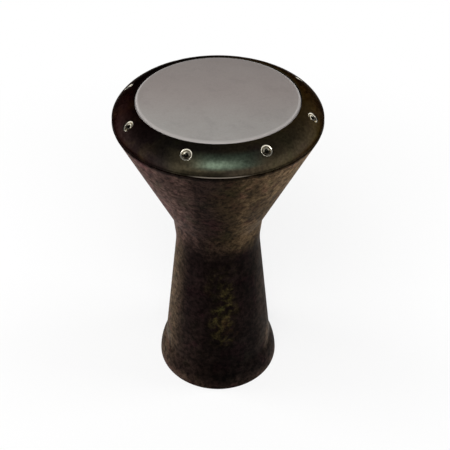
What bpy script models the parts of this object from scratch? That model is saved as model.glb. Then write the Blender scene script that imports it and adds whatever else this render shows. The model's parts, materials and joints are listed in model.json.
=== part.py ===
"""A goblet drum with a cast metal shell, a screwed tuning ring and a film head.

Metres, +Z up. The drum stands on its foot at z = 0 with its axis on Z, and its
playing face is at z = HEIGHT. Every piece is its own object, and pieces that
touch on a bench are drawn FIT apart.
"""

import math

import bmesh
import bpy
from mathutils import Matrix, Vector

# Overall form
HEIGHT = 0.4416  # floor to playing face
FIT = 0.0003  # drawn gap between two pieces that touch
TURN_STEPS = 48  # facets round the large turned pieces
SMALL_STEPS = 12  # facets round the fasteners
FILLET_STEPS = 3  # facets across a fillet of the shell
BEND_STEPS = 4  # facets across a bead or a bend

# Shell: a cone on a slim waist and a flaring neck, one casting
SHELL_WALL = 0.0045
CONE_INSET = 0.0006  # cone's top inside the ring's mouth bead
SEAM_EDGE = 0.0007  # small chamfer round the cone's top
WAIST_TOP_RADIUS = 0.0607
WAIST_TOP_HEIGHT = 0.2648
WAIST_TOP_FILLET = 0.022
WAIST_LOW_RADIUS = 0.0569
WAIST_LOW_HEIGHT = 0.2267
WAIST_LOW_FILLET = 0.110
FOOT_NECK_RADIUS = 0.0786  # where the foot's bulge starts
FOOT_HEIGHT = 0.0338
FOOT_RADIUS = 0.0882
FOOT_POWER = 1.51  # 2 would be an ellipse, 1 a straight slope
FOOT_EDGE = 0.0005  # small chamfer along the floor

# Deck that closes the cone's top, and the wall that carries the head
DECK_THICKNESS = 0.0070
DECK_SINK = 0.0018  # deck below the seam flange
SPIGOT_RISE = 0.0037  # centring step above the seam flange
SPIGOT_WIDTH = 0.0050
SPIGOT_SHOULDER = 0.0010
EDGE_WALL = 0.0048
EDGE_CHAMFER = 0.0018
BEAD_WRAP_DEG = 36.0  # how far the bearing edge's round turns under
CASTING_CHAMFER = 0.0040  # inside corner under the deck

# Head: a film cap whose skirt hangs in the channel of a metal hoop
HEAD_RADIUS = 0.1001  # outside of the skirt
FILM_THICKNESS = 0.0004
COLLAR_RADIUS = 0.0042  # bend between the playing face and the skirt
SKIRT_DEPTH = 0.0138  # playing face to the skirt's lower edge
HOOP_DROP = 0.0098  # playing face to the hoop's upper edge
HOOP_HEIGHT = 0.0077
HOOP_INNER_WALL = 0.0008
HOOP_OUTER_WALL = 0.0014
HOOP_FLOOR = 0.0012
HOOP_INNER_SHORT = 0.0012  # inner wall lower than the outer one
HOOP_FIT = 0.0004  # channel wall to skirt, and hoop to head wall

# Tuning ring: a rounded collar over the hoop, with its mouth on the seam
RING_DROP = 0.0010  # playing face to the ring's top
RING_GAP = 0.0006  # ring's inner lip to the skirt
RING_LIP_EDGE = 0.0008
RING_LIP_WIDTH = 0.0073
RING_FLAT = 0.0011  # level top before the crown bends down
CROWN_REACH = 0.0271  # level top to the crown's widest
CROWN_FALL = 0.0208  # level top to the end of the crown
CROWN_POWER = 1.53  # 2 would be an ellipse
RING_HEIGHT = 0.0275  # level top to the mouth
RING_WALL = 0.0046
MOUTH_PROUD = 0.0004  # bead round the mouth beyond the crown
MOUTH_BEAD = 0.0030  # height of that bead
SEAM_GAP = 0.0016  # open seam between the ring's mouth and the shell
CROWN_STEPS = 8

# Tuning travel of the ring along the drum's axis, from the tuned rest state
TRAVEL_DOWN = 0.0008
TRAVEL_UP = 0.0010

# Bolts: socket screws that lean outward, each in a cup washer
BOLT_COUNT = 8
FIRST_BOLT_DEG = -107.5
BOLT_INSET = 0.0154  # crown's start to where each bolt's axis leaves it
BOLT_TILT_DEG = 38.0
BOLT_RADIUS = 0.0025
BOLT_LENGTH = 0.028
BOLT_TIP = 0.0005
BOLT_HEAD_RADIUS = 0.00425
BOLT_HEAD_HEIGHT = 0.0036
BOLT_HEAD_EDGE = 0.0004
SOCKET_FLATS = 0.0040
SOCKET_DEPTH = 0.0024
CUP_RADIUS = 0.0071
CUP_WALL = 0.0016
CUP_FLOOR = 0.0010
CUP_HEIGHT = 0.0068
CUP_EDGE = 0.0003
CUP_SINK = 0.0008  # cup's rim below the crown on the bolt's axis
FLAT_WASHER_RADIUS = 0.0045
FLAT_WASHER_THICKNESS = 0.0008
SEAT_FLOOR = 0.0032  # metal under the cup washer
SEAT_WALL = 0.0020  # metal round the cup washer
INSERT_RADIUS = 0.0040
INSERT_LENGTH = 0.0120
BOSS_WALL = 0.0030  # metal round the insert
BOSS_CLEARANCE = 0.0012  # boss to the hoop at its lowest

# Sizes that follow from the ones above
TILT = math.radians(BOLT_TILT_DEG)
RING_TOP = HEIGHT - RING_DROP
RING_MOUTH = RING_TOP - RING_HEIGHT
SEAM = RING_MOUTH - SEAM_GAP
HOOP_TOP = HEIGHT - HOOP_DROP
HOOP_BOTTOM = HOOP_TOP - HOOP_HEIGHT
CHANNEL_IN = HEAD_RADIUS - FILM_THICKNESS - HOOP_FIT
CHANNEL_OUT = HEAD_RADIUS + HOOP_FIT
HOOP_IN = CHANNEL_IN - HOOP_INNER_WALL
HOOP_OUT = CHANNEL_OUT + HOOP_OUTER_WALL
EDGE_OUT = HOOP_IN - HOOP_FIT
EDGE_IN = EDGE_OUT - EDGE_WALL
LIP_IN = HEAD_RADIUS + RING_GAP
CROWN_START = LIP_IN + RING_FLAT
CROWN_RADIUS = CROWN_START + CROWN_REACH
MOUTH_RADIUS = CROWN_RADIUS + MOUTH_PROUD
CONE_TOP_RADIUS = MOUTH_RADIUS - CONE_INSET
BOLT_CIRCLE = CROWN_START + BOLT_INSET
SIDE_SHIFT = max(TRAVEL_UP, TRAVEL_DOWN) * math.sin(TILT)
PASSAGE_RADIUS = BOLT_RADIUS + SIDE_SHIFT + FIT  # hole round a bolt that leans
CUP_SEAT_RADIUS = CUP_RADIUS + FIT
SEAT_DEPTH = CUP_HEIGHT + FIT + CUP_SINK
FLAT_WASHER_FOOT = FIT + CUP_FLOOR + FIT
HEAD_FOOT = FLAT_WASHER_FOOT + FLAT_WASHER_THICKNESS + FIT

drum = None
helpers = None


def clear_scene():
    for obj in list(bpy.data.objects):
        bpy.data.objects.remove(obj, do_unlink=True)


def new_collection(name, hidden=False):
    collection = bpy.data.collections.new(name)
    bpy.context.scene.collection.children.link(collection)
    collection.hide_render = hidden
    return collection


def material(name, colour, roughness, metallic):
    made = bpy.data.materials.new(name)
    made.use_nodes = True
    shader = made.node_tree.nodes["Principled BSDF"]
    shader.inputs["Base Color"].default_value = (*colour, 1.0)
    shader.inputs["Roughness"].default_value = roughness
    shader.inputs["Metallic"].default_value = metallic
    made.diffuse_color = (*colour, 1.0)
    return made


def arc(centre, radius, start_deg, end_deg, steps):
    """Points on a circle in the (radius, height) plane."""
    points = []
    for i in range(steps + 1):
        angle = math.radians(start_deg + (end_deg - start_deg) * i / steps)
        points.append((centre[0] + radius * math.cos(angle), centre[1] + radius * math.sin(angle)))
    return points


def filleted(before, corner, after, radius, steps):
    """The corner between two straight runs, rounded to the radius."""
    corner = Vector(corner)
    towards = (Vector(before) - corner).normalized()
    away = (Vector(after) - corner).normalized()
    half = towards.angle(away) / 2
    centre = corner + (towards + away).normalized() * radius / math.sin(half)
    first = corner + towards * radius / math.tan(half) - centre
    last = corner + away * radius / math.tan(half) - centre
    sweep = first.angle_signed(last)
    points = []
    for i in range(steps + 1):
        spoke = first.copy()
        spoke.rotate(Matrix.Rotation(-sweep * i / steps, 2))
        points.append(tuple(centre + spoke))
    return points


def inset(points, distance):
    """A chain of points that runs down, moved towards the axis with mitred corners."""
    moved = []
    for i, point in enumerate(points):
        here = Vector(point)
        runs = []
        if i > 0:
            runs.append((here - Vector(points[i - 1])).normalized())
        if i < len(points) - 1:
            runs.append((Vector(points[i + 1]) - here).normalized())
        normals = [Vector((run.y, -run.x)) for run in runs]
        middle = sum(normals, Vector((0, 0))).normalized()
        moved.append(tuple(here + middle * distance / middle.dot(normals[0])))
    return moved


def at_height(high, low, z):
    """The radius at height z on the straight line through two points."""
    share = (z - low[1]) / (high[1] - low[1])
    return low[0] + (high[0] - low[0]) * share


def turned(name, profile, steps, surface, closed=True):
    """A body of revolution about Z from (radius, height) points, outer side first and downward."""
    mesh = bpy.data.meshes.new(name)
    edges = [(i, i + 1) for i in range(len(profile) - 1)]
    if closed:
        edges.append((len(profile) - 1, 0))
    mesh.from_pydata([(r, 0, z) for r, z in profile], edges, [])
    obj = bpy.data.objects.new(name, mesh)
    screw = obj.modifiers.new("turn", "SCREW")
    screw.axis = "Z"
    screw.angle = math.tau
    screw.steps = steps
    screw.render_steps = steps
    screw.use_merge_vertices = True
    screw.merge_threshold = 0.00001
    screw.use_smooth_shade = True
    mesh.materials.append(surface)
    return obj


def rod(name, radius, low, high, steps, frame, turn=0.0):
    """A helper cylinder along local Z from low to high, placed by a bolt's frame."""
    mesh = bpy.data.meshes.new(name)
    shape = bmesh.new()
    bmesh.ops.create_cone(
        shape,
        cap_ends=True,
        segments=steps,
        radius1=radius,
        radius2=radius,
        depth=high - low,
        matrix=Matrix.Translation((0, 0, (high + low) / 2)) @ Matrix.Rotation(turn, 4, "Z"),
    )
    shape.to_mesh(mesh)
    shape.free()
    obj = bpy.data.objects.new(name, mesh)
    obj.matrix_world = frame
    obj.hide_render = True
    obj.display_type = "WIRE"
    helpers.objects.link(obj)
    return obj


def combine(target, other, operation):
    step = target.modifiers.new(other.name, "BOOLEAN")
    step.operation = operation
    step.solver = "EXACT"
    step.object = other


def crown_height(radius):
    """Height of the tuning ring's outer surface over its crown."""
    share = (radius - CROWN_START) / (CROWN_RADIUS - CROWN_START)
    return RING_TOP - CROWN_FALL * (1 - (1 - share**CROWN_POWER) ** (1 / CROWN_POWER))


def shoulder(start, end_radius, fall, power, steps):
    """A rounded corner that leaves start level and ends upright, spread evenly by angle."""
    points = []
    for i in range(steps + 1):
        angle = math.pi / 2 * i / steps
        radius = start[0] + (end_radius - start[0]) * math.sin(angle) ** (2 / power)
        points.append((radius, start[1] - fall * (1 - math.cos(angle) ** (2 / power))))
    return points


def bolt_frame(index):
    """Origin on the floor of the cup washer's seat, local Z outward along the bolt."""
    angle = math.radians(FIRST_BOLT_DEG + 360 / BOLT_COUNT * index)
    lean = Matrix.Rotation(angle, 4, "Z") @ Matrix.Rotation(TILT, 4, "Y")
    on_crown = Vector((BOLT_CIRCLE, 0, crown_height(BOLT_CIRCLE)))
    on_crown.rotate(Matrix.Rotation(angle, 3, "Z"))
    outward = lean.to_3x3() @ Vector((0, 0, 1))
    return Matrix.Translation(on_crown - outward * SEAT_DEPTH) @ lean


def boss_top():
    """Local height of the shell boss's upper face, low enough for the hoop at its lowest."""
    seat = crown_height(BOLT_CIRCLE) - SEAT_DEPTH * math.cos(TILT)
    rise = (INSERT_RADIUS + FIT + BOSS_WALL) * math.sin(TILT)
    face = HOOP_BOTTOM - TRAVEL_DOWN - BOSS_CLEARANCE - rise
    return (face - seat) / math.cos(TILT)


def shell_outline():
    cone_top = (CONE_TOP_RADIUS, SEAM)
    waist_top = (WAIST_TOP_RADIUS, WAIST_TOP_HEIGHT)
    waist_low = (WAIST_LOW_RADIUS, WAIST_LOW_HEIGHT)
    foot_start = (FOOT_NECK_RADIUS, FOOT_HEIGHT)
    floor = (at_height(waist_low, foot_start, 0), 0)
    edge_top = HEIGHT - FILM_THICKNESS - FIT
    bead = COLLAR_RADIUS - FILM_THICKNESS - FIT
    bead_centre = (HEAD_RADIUS - COLLAR_RADIUS, HEIGHT - COLLAR_RADIUS)
    deck_top = SEAM - DECK_SINK
    deck_low = deck_top - DECK_THICKNESS
    spigot_out = MOUTH_RADIUS - RING_WALL - 2 * FIT
    spigot_in = spigot_out - SPIGOT_WIDTH

    bead_foot = bead_centre[1] - bead * math.sin(math.radians(BEAD_WRAP_DEG))
    outline = arc(bead_centre, bead, 90, -BEAD_WRAP_DEG, BEND_STEPS)
    outline.append((EDGE_OUT, bead_foot - FIT))
    outline.append((EDGE_OUT, deck_top))
    outline.append((spigot_in - SPIGOT_SHOULDER, deck_top))
    outline.append((spigot_in, SEAM + SPIGOT_RISE))
    outline.append((spigot_out - FIT, SEAM + SPIGOT_RISE))
    outline.append((spigot_out, SEAM + SPIGOT_RISE - SPIGOT_SHOULDER))
    outline.append((spigot_out, SEAM))
    outline.append((CONE_TOP_RADIUS - SEAM_EDGE, SEAM))
    low_edge = SEAM - SEAM_EDGE
    outline.append((at_height(cone_top, waist_top, low_edge), low_edge))
    outline += filleted(cone_top, waist_top, waist_low, WAIST_TOP_FILLET, FILLET_STEPS)
    outline += filleted(waist_top, waist_low, foot_start, WAIST_LOW_FILLET, FILLET_STEPS)
    bulge = FOOT_HEIGHT - FOOT_EDGE
    outline += shoulder(foot_start, FOOT_RADIUS, bulge, FOOT_POWER, BEND_STEPS)
    outline.append((FOOT_RADIUS - FOOT_EDGE, 0))

    top, high, low, base = inset([cone_top, waist_top, waist_low, floor], SHELL_WALL)
    base = (at_height(low, base, 0), 0)
    outline.append((base[0] + FOOT_EDGE, 0))
    outline.append((at_height(low, base, FOOT_EDGE), FOOT_EDGE))
    outline += filleted(base, low, high, WAIST_LOW_FILLET + SHELL_WALL, FILLET_STEPS)
    outline += filleted(low, high, top, WAIST_TOP_FILLET + SHELL_WALL, FILLET_STEPS)
    ledge = deck_low - CASTING_CHAMFER
    outline.append((at_height(top, high, ledge), ledge))
    outline.append((at_height(top, high, deck_low) - CASTING_CHAMFER, deck_low))
    outline.append((EDGE_IN, deck_low))
    outline.append((EDGE_IN, edge_top - EDGE_CHAMFER))
    outline.append((min(EDGE_IN + EDGE_CHAMFER, bead_centre[0] - FIT), edge_top))
    return outline


def make_shell(frames, surface):
    """The casting, with a boss and a through hole for each threaded insert."""
    shell = turned("shell", shell_outline(), TURN_STEPS, surface)
    top = boss_top()
    low = top - INSERT_LENGTH
    hole = INSERT_RADIUS + FIT
    for i, frame in enumerate(frames, 1):
        boss = rod(f"boss_{i}", hole + BOSS_WALL, low, top, SMALL_STEPS, frame)
        combine(shell, boss, "UNION")
    for i, frame in enumerate(frames, 1):
        drill = rod(f"insert_hole_{i}", hole, low - 2 * hole, top + hole, SMALL_STEPS, frame)
        combine(shell, drill, "DIFFERENCE")
    return shell


def make_tuning_ring(frames, surface):
    """The collar, with a sunk seat for each cup washer and a passage for its bolt."""
    under = HOOP_TOP + FIT
    crown_top = (CROWN_START, RING_TOP)
    outline = [(LIP_IN + RING_LIP_EDGE, RING_TOP)]
    outline += shoulder(crown_top, CROWN_RADIUS, CROWN_FALL, CROWN_POWER, CROWN_STEPS)
    bead = MOUTH_BEAD / 2
    outline.append((CROWN_RADIUS, RING_MOUTH + MOUTH_BEAD))
    outline += arc((MOUTH_RADIUS - bead, RING_MOUTH + bead), bead, 90, -90, BEND_STEPS)
    outline.append((MOUTH_RADIUS - RING_WALL, RING_MOUTH))
    lip_end = LIP_IN + RING_LIP_WIDTH
    ceiling = (lip_end, crown_height(lip_end) - RING_WALL)
    over_spigot = SEAM + SPIGOT_RISE + TRAVEL_DOWN + FIT
    mouth_in = MOUTH_RADIUS - RING_WALL
    inner = shoulder(ceiling, mouth_in, ceiling[1] - over_spigot, CROWN_POWER, CROWN_STEPS)
    outline += inner[::-1]
    outline.append((lip_end, under))
    outline.append((LIP_IN, under))
    outline.append((LIP_IN, RING_TOP - RING_LIP_EDGE))
    ring = turned("tuning_ring", outline, TURN_STEPS, surface)
    radius = CUP_SEAT_RADIUS + SEAT_WALL
    pad_top = SEAT_DEPTH - RING_WALL + FIT
    for i, frame in enumerate(frames, 1):
        pad = rod(f"seat_pad_{i}", radius, -SEAT_FLOOR, pad_top, SMALL_STEPS, frame)
        combine(ring, pad, "UNION")
    for i, frame in enumerate(frames, 1):
        seat = rod(f"cup_seat_{i}", CUP_SEAT_RADIUS, 0, 2 * SEAT_DEPTH, SMALL_STEPS, frame)
        combine(ring, seat, "DIFFERENCE")
        passage = rod(f"passage_{i}", PASSAGE_RADIUS, -2 * SEAT_FLOOR, FIT, SMALL_STEPS, frame)
        combine(ring, passage, "DIFFERENCE")
    return ring


def make_drumhead(surface):
    """The film: a flat playing face, a bent collar and a short skirt."""
    centre = (HEAD_RADIUS - COLLAR_RADIUS, HEIGHT - COLLAR_RADIUS)
    inner = COLLAR_RADIUS - FILM_THICKNESS
    outline = [(0, HEIGHT)] + arc(centre, COLLAR_RADIUS, 90, 0, BEND_STEPS)
    outline.append((HEAD_RADIUS, HEIGHT - SKIRT_DEPTH))
    outline.append((HEAD_RADIUS - FILM_THICKNESS, HEIGHT - SKIRT_DEPTH))
    outline += arc(centre, inner, 0, 90, BEND_STEPS)
    outline.append((0, HEIGHT - FILM_THICKNESS))
    return turned("drumhead", outline, TURN_STEPS, surface, closed=False)


def make_head_hoop(surface):
    """The channel section that holds the film's skirt."""
    floor = HOOP_BOTTOM + HOOP_FLOOR
    outline = [
        (CHANNEL_OUT, HOOP_TOP),
        (HOOP_OUT, HOOP_TOP),
        (HOOP_OUT, HOOP_BOTTOM),
        (HOOP_IN, HOOP_BOTTOM),
        (HOOP_IN, HOOP_TOP - HOOP_INNER_SHORT),
        (CHANNEL_IN, HOOP_TOP - HOOP_INNER_SHORT),
        (CHANNEL_IN, floor),
        (CHANNEL_OUT, floor),
    ]
    return turned("head_hoop", outline, TURN_STEPS, surface)


def make_cup_washer(name, surface):
    """A plated cup that lines the seat in the ring and hides the screw's head."""
    rim = FIT + CUP_HEIGHT
    bore = CUP_RADIUS - CUP_WALL
    outline = [
        (bore + CUP_EDGE, rim),
        (CUP_RADIUS - CUP_EDGE, rim),
        (CUP_RADIUS, rim - CUP_EDGE),
        (CUP_RADIUS, FIT),
        (PASSAGE_RADIUS, FIT),
        (PASSAGE_RADIUS, FIT + CUP_FLOOR),
        (bore, FIT + CUP_FLOOR),
        (bore, rim - CUP_EDGE),
    ]
    return turned(name, outline, SMALL_STEPS, surface)


def make_flat_washer(name, surface):
    """The plain washer under the screw's head, which slides in the cup as the ring travels."""
    top = FLAT_WASHER_FOOT + FLAT_WASHER_THICKNESS
    bore = BOLT_RADIUS + FIT
    outline = [
        (bore, top),
        (FLAT_WASHER_RADIUS, top),
        (FLAT_WASHER_RADIUS, FLAT_WASHER_FOOT),
        (bore, FLAT_WASHER_FOOT),
    ]
    return turned(name, outline, SMALL_STEPS, surface)


def make_bolt(name, frame, surface):
    """A low socket-head screw with its axis on local Z."""
    top = HEAD_FOOT + BOLT_HEAD_HEIGHT
    tip = HEAD_FOOT - BOLT_LENGTH
    outline = [
        (0, top),
        (BOLT_HEAD_RADIUS - BOLT_HEAD_EDGE, top),
        (BOLT_HEAD_RADIUS, top - BOLT_HEAD_EDGE),
        (BOLT_HEAD_RADIUS, HEAD_FOOT),
        (BOLT_RADIUS, HEAD_FOOT),
        (BOLT_RADIUS, tip + BOLT_TIP),
        (BOLT_RADIUS - BOLT_TIP, tip),
        (0, tip),
    ]
    bolt = turned(name, outline, SMALL_STEPS, surface, closed=False)
    corner = SOCKET_FLATS / 2 / math.cos(math.pi / 6)
    socket = rod(f"{name}_socket", corner, top - SOCKET_DEPTH, top + SOCKET_DEPTH, 6, frame)
    combine(bolt, socket, "DIFFERENCE")
    return bolt


def make_insert(name, surface):
    """The threaded steel bush in a shell boss, drawn with a plain bore."""
    top = boss_top()
    bore = BOLT_RADIUS + FIT
    outline = [
        (bore, top),
        (INSERT_RADIUS, top),
        (INSERT_RADIUS, top - INSERT_LENGTH),
        (bore, top - INSERT_LENGTH),
    ]
    return turned(name, outline, SMALL_STEPS, surface)


def empty(name, frame):
    holder = bpy.data.objects.new(name, None)
    holder.empty_display_size = BOLT_LENGTH
    holder.matrix_world = frame
    drum.objects.link(holder)
    return holder


def main():
    global drum, helpers
    clear_scene()
    drum = new_collection("goblet_drum")
    helpers = new_collection("helpers", hidden=True)
    patina = material("shell_patina", (0.045, 0.035, 0.028), 0.42, 0.6)
    ring_patina = material("ring_patina", (0.020, 0.017, 0.016), 0.30, 0.6)
    film = material("film", (0.42, 0.40, 0.39), 0.55, 0.0)
    hoop_metal = material("hoop_aluminium", (0.70, 0.70, 0.69), 0.35, 1.0)
    chrome = material("cup_chrome", (0.80, 0.78, 0.72), 0.12, 1.0)
    bolt_steel = material("bolt_steel", (0.50, 0.48, 0.44), 0.28, 1.0)
    washer_steel = material("washer_steel", (0.46, 0.45, 0.43), 0.35, 1.0)
    insert_steel = material("insert_steel", (0.33, 0.33, 0.32), 0.45, 1.0)

    frames = [bolt_frame(i) for i in range(BOLT_COUNT)]
    travel = empty("tuning_travel", Matrix.Identity(4))
    fixed = [make_shell(frames, patina), make_drumhead(film)]
    for obj in fixed:
        drum.objects.link(obj)
    for obj in (make_tuning_ring(frames, ring_patina), make_head_hoop(hoop_metal)):
        drum.objects.link(obj)
        obj.parent = travel
    for i, frame in enumerate(frames, 1):
        axis = empty(f"bolt_axis_{i}", frame)
        pieces = [
            make_cup_washer(f"cup_washer_{i}", chrome),
            make_flat_washer(f"flat_washer_{i}", washer_steel),
            make_bolt(f"bolt_{i}", frame, bolt_steel),
            make_insert(f"threaded_insert_{i}", insert_steel),
        ]
        for obj in pieces:
            drum.objects.link(obj)
            obj.parent = axis


main()
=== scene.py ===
"""Looks of a goblet drum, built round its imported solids.

Metres, +Z up. The drum stands on its foot at z = 0 with its axis on Z. Each piece
is modelled again with smooth turned surfaces, rides on the body of the node that
it stands for, and keeps that node's sizes.
"""

import json
import math

import bmesh
import bpy
from mathutils import Matrix, Vector


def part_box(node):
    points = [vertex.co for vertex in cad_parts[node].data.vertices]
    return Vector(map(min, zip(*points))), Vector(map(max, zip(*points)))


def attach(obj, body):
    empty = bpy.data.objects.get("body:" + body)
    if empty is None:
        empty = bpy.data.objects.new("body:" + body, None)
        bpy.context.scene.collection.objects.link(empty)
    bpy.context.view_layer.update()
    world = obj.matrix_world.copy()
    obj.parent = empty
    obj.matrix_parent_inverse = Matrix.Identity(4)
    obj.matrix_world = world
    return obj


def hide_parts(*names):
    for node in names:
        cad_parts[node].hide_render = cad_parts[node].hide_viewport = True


# Facets of the turned surfaces
TURN_STEPS = 192
SMALL_STEPS = 48
CROWN_STEPS = 28
BEND_STEPS = 12
CORNER_STEPS = 5
HOOP_CORNER_STEPS = 3
WASHER_CORNER_STEPS = 2
SHARP_DEG = 32.0
ON_AXIS = 1e-9

# Shell
SHELL_WALL = 0.0045
CONE_INSET = 0.0006
SEAM_GAP = 0.0016
SEAM_EDGE = 0.0007
WAIST_TOP = (0.0607, 0.2648)
WAIST_TOP_FILLET = 0.022
WAIST_LOW = (0.0569, 0.2267)
WAIST_LOW_FILLET = 0.110
FOOT_START = (0.0786, 0.0338)
FOOT_RADIUS = 0.0882
FOOT_POWER = 1.51
FOOT_EDGE = 0.0005
FOOT_BLEND_DEG = 17.0
DECK_THICKNESS = 0.0070
DECK_SINK = 0.0018
SPIGOT_RISE = 0.0037
SPIGOT_WIDTH = 0.0050
SPIGOT_SHOULDER = 0.0010
EDGE_WALL = 0.0048
EDGE_CHAMFER = 0.0018
BEAD_WRAP_DEG = 36.0
CASTING_CHAMFER = 0.0040
CASTING_FILLET = 0.0015
BOSS_WALL = 0.0030
BOSS_CLEARANCE = 0.0012

# Head and hoop
FIT = 0.0003
FILM_THICKNESS = 0.0004
COLLAR_RADIUS = 0.0042
HOOP_FIT = 0.0004
HOOP_INNER_WALL = 0.0008
HOOP_FLOOR = 0.0012
HOOP_INNER_SHORT = 0.0012
HOOP_EDGE = 0.0003

# Tuning ring
RING_GAP = 0.0006
RING_LIP_EDGE = 0.0008
RING_LIP_WIDTH = 0.0073
RING_FLAT = 0.0011
CROWN_REACH = 0.0271
CROWN_FALL = 0.0208
CROWN_POWER = 1.53
RING_WALL = 0.0046
MOUTH_BEAD = 0.0030
SEAT_FLOOR = 0.0032
SEAT_WALL = 0.0020
TRAVEL_DOWN = 0.0008
TRAVEL_UP = 0.0010

# Bolts, washers and bushes, each on its own leaning axis
BOLT_RADIUS = 0.0025
BOLT_LENGTH = 0.028
BOLT_HEAD_RADIUS = 0.00425
BOLT_HEAD_HEIGHT = 0.0036
BOLT_HEAD_EDGE = 0.0004
BOLT_DISH = 0.0011
SOCKET_FLATS = 0.0040
SOCKET_DEPTH = 0.0024
SOCKET_CONE = 0.0010
THREAD_PITCH = 0.0008
THREAD_DEPTH = 0.00049
THREAD_ROWS = 8
THREAD_STEPS = 24
THREAD_SLOPE = 2.4
THREAD_RUNOUT = 3
PLAIN_SHANK = 0.0020
CUP_RADIUS = 0.0071
CUP_WALL = 0.0016
CUP_FLOOR = 0.0010
CUP_HEIGHT = 0.0068
CUP_SINK = 0.0008
CUP_CORNER = 0.0012
CUP_DISH = 0.0010
CUP_EDGE = 0.0004
FLAT_WASHER_RADIUS = 0.0045
FLAT_WASHER_THICKNESS = 0.0008
FLAT_WASHER_EDGE = 0.0002
INSERT_RADIUS = 0.0040
INSERT_LENGTH = 0.0120

# Camera, from the photograph: focal length and axis in its pixels
PHOTO_SIDE = 450
FOCAL_PIXELS = 786.6
AXIS_PIXEL = 218.0
CAMERA_PLACE = (0.0, -0.8243, 0.9250)
CAMERA_PITCH_DEG = 39.69
SENSOR_WIDTH = 36.0

# Shell patina: colours of the left side and of the warmer right side
CONE_COLOURS = ((0.085, 0.050, 0.041), (0.103, 0.067, 0.036))
NECK_COLOURS = ((0.0095, 0.0054, 0.0050), (0.0075, 0.0045, 0.0040))
FOOT_COLOURS = ((0.0150, 0.0092, 0.0076), (0.0060, 0.0042, 0.0036))
# Painted side light on the left and right flanks
FLANK_LIGHT_COLOURS = ((0.062, 0.042, 0.026), (0.017, 0.012, 0.009))
RIM_COLOURS = ((0.058, 0.036, 0.026), (0.034, 0.022, 0.017))
# Painted highlight on the foot's shoulder at the flanks
SHOULDER_HIGHLIGHT = (0.058, 0.042, 0.029)
OLIVE_COLOUR = (0.052, 0.041, 0.014)

# Shell patina: heights between which a zone begins or ends, the last two below the seam, where shade
# is painted
CONE_FADE = (0.242, 0.300)
BLACK_FADE = (0.225, 0.265)
FOOT_FADE = (0.075, 0.165)
RIM_FADE = (0.018, 0.042)
# Heights over which the painted side light on the flanks grows to full
SIDE_LIGHT_FADE = (0.025, 0.060)
# Heights over which the painted shade down the front of the cone fades in
FRONT_SHADE_FADE = (0.235, 0.275)
OLIVE_LOW = (0.070, 0.100)
OLIVE_HIGH = (0.130, 0.235)
# Painted shade under the ring and in the seam, as drops below the seam
UNDER_RING = (0.0035, 0.0005)
SEAM_LINE = (0.0034, 0.0018)

# Shell patina: places across the drum and round it, the shades of its marks, and its painted light
# and shade
FRONT_FADE = (-0.03, 0.0)
WARM_FADE = (0.010, 0.050)
FLANK_TURN = (0.56, 1.0)
# Where round the drum and how high the painted shoulder highlight lies
SHOULDER_TURN = (0.84, 0.98)
SHOULDER_BAND = (0.072, 0.003, 0.020)
# Where across the front the painted shade lies
FRONT_SHADE_BAND = (-0.003, 0.018, 0.022)
OLIVE_BAND = (0.031, 0.002, 0.022)
BLACK_SHADE = 0.6
# Share of the painted side light that is left near the floor
SIDE_LIGHT_LEAST = 0.45
# Darkening of the painted front shade and of the dark streaks
COLUMN_SHADE = 0.42
# Darkening of the painted shade under the ring, and in the seam
UNDER_RING_SHADE = 0.55
SEAM_LINE_SHADE = 0.35

# Shell patina: how far its edges wander, the levels of its noises and what they give
ZONE_WANDER = 0.040
WARM_WANDER = 0.06
SHOULDER_WANDER = 0.040
OLIVE_WANDER = 0.050
UNDER_RING_WANDER = 0.004
SHOULDER_LEVELS = (0.34, 0.60)
STREAK_LEVELS = (0.50, 0.62)
STREAK_STRENGTH = 0.8
OLIVE_LEVELS = (0.42, 0.66)
TURNED_SHADES = (0.86, 1.14)
MOTTLE_LEVELS = (0.36, 0.64)
MOTTLE_SHADES = (0.38, 1.62)
SPECKLE_SHADES = (0.75, 1.25)
SHELL_ROUGHNESS = (0.44, 0.60)

# Shell stains: noise scale, its roughness and warp, its two levels, strength and tint
SHELL_STAINS = (
    (42.0, 0.60, 0.5, 0.54, 0.70, 0.55, (1.80, 1.80, 1.80)),
    (33.0, 0.65, 0.4, 0.52, 0.66, 0.60, (1.24, 0.84, 1.10)),
    (37.0, 0.65, 0.4, 0.54, 0.68, 0.55, (0.80, 1.05, 0.85)),
    (60.0, 0.60, 0.5, 0.52, 0.70, 0.65, (0.42, 0.42, 0.42)),
)

# Ring patina: colours, with the left side's and the warmer right side's first
RING_COLOURS = ((0.025, 0.021, 0.017), (0.062, 0.048, 0.029))
RING_EDGE_TINT = (0.26, 0.23, 0.21)
RING_AMBER = (0.062, 0.051, 0.031)
RING_GREEN = (0.055, 0.072, 0.051)
# Painted highlight along the front of the mouth bead
BEAD_HIGHLIGHT = (0.19, 0.165, 0.135)
RING_LEFT_TINT = (0.92, 0.72, 0.85)

# Ring patina: places across the ring, below its top and above its mouth, and shades, with painted
# reflections and light among them
RING_FRONT_FADE = (-0.09, -0.03)
RING_WARM_FADE = (0.01, 0.10)
GREEN_BAND = (0.010, 0.016, 0.034)
AMBER_BAND = (-0.032, 0.010, 0.022)
# Where across the front the painted dark band above the mouth lies
LOW_BAND = (-0.018, 0.018, 0.016)
# Where across the front and how high on the bead the painted highlight lies
BEAD_HIGHLIGHT_BAND = (0.002, 0.018, 0.020)
BEAD_HIGHLIGHT_LINE = (0.0004, 0.0006)
CROWN_DROP = (0.0065, 0.0025)
SKIRT_DROP = (0.0190, 0.0140)
# Heights, in mouth beads, over which that painted dark band fades out
LOW_BEADS = (2.2, 3.3)
LEFT_FADE = (-0.080, -0.050)
# Painted light along the ring's far left edge
FAR_LEFT_FADE = (-0.118, -0.095)
FAR_LEFT_LIGHT = 2.0
# Darkening of the painted dark reflection towards the mouth all round, and of the band above it
MOUTH_SHADE = 0.40
LOW_SHADE = 0.42

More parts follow.
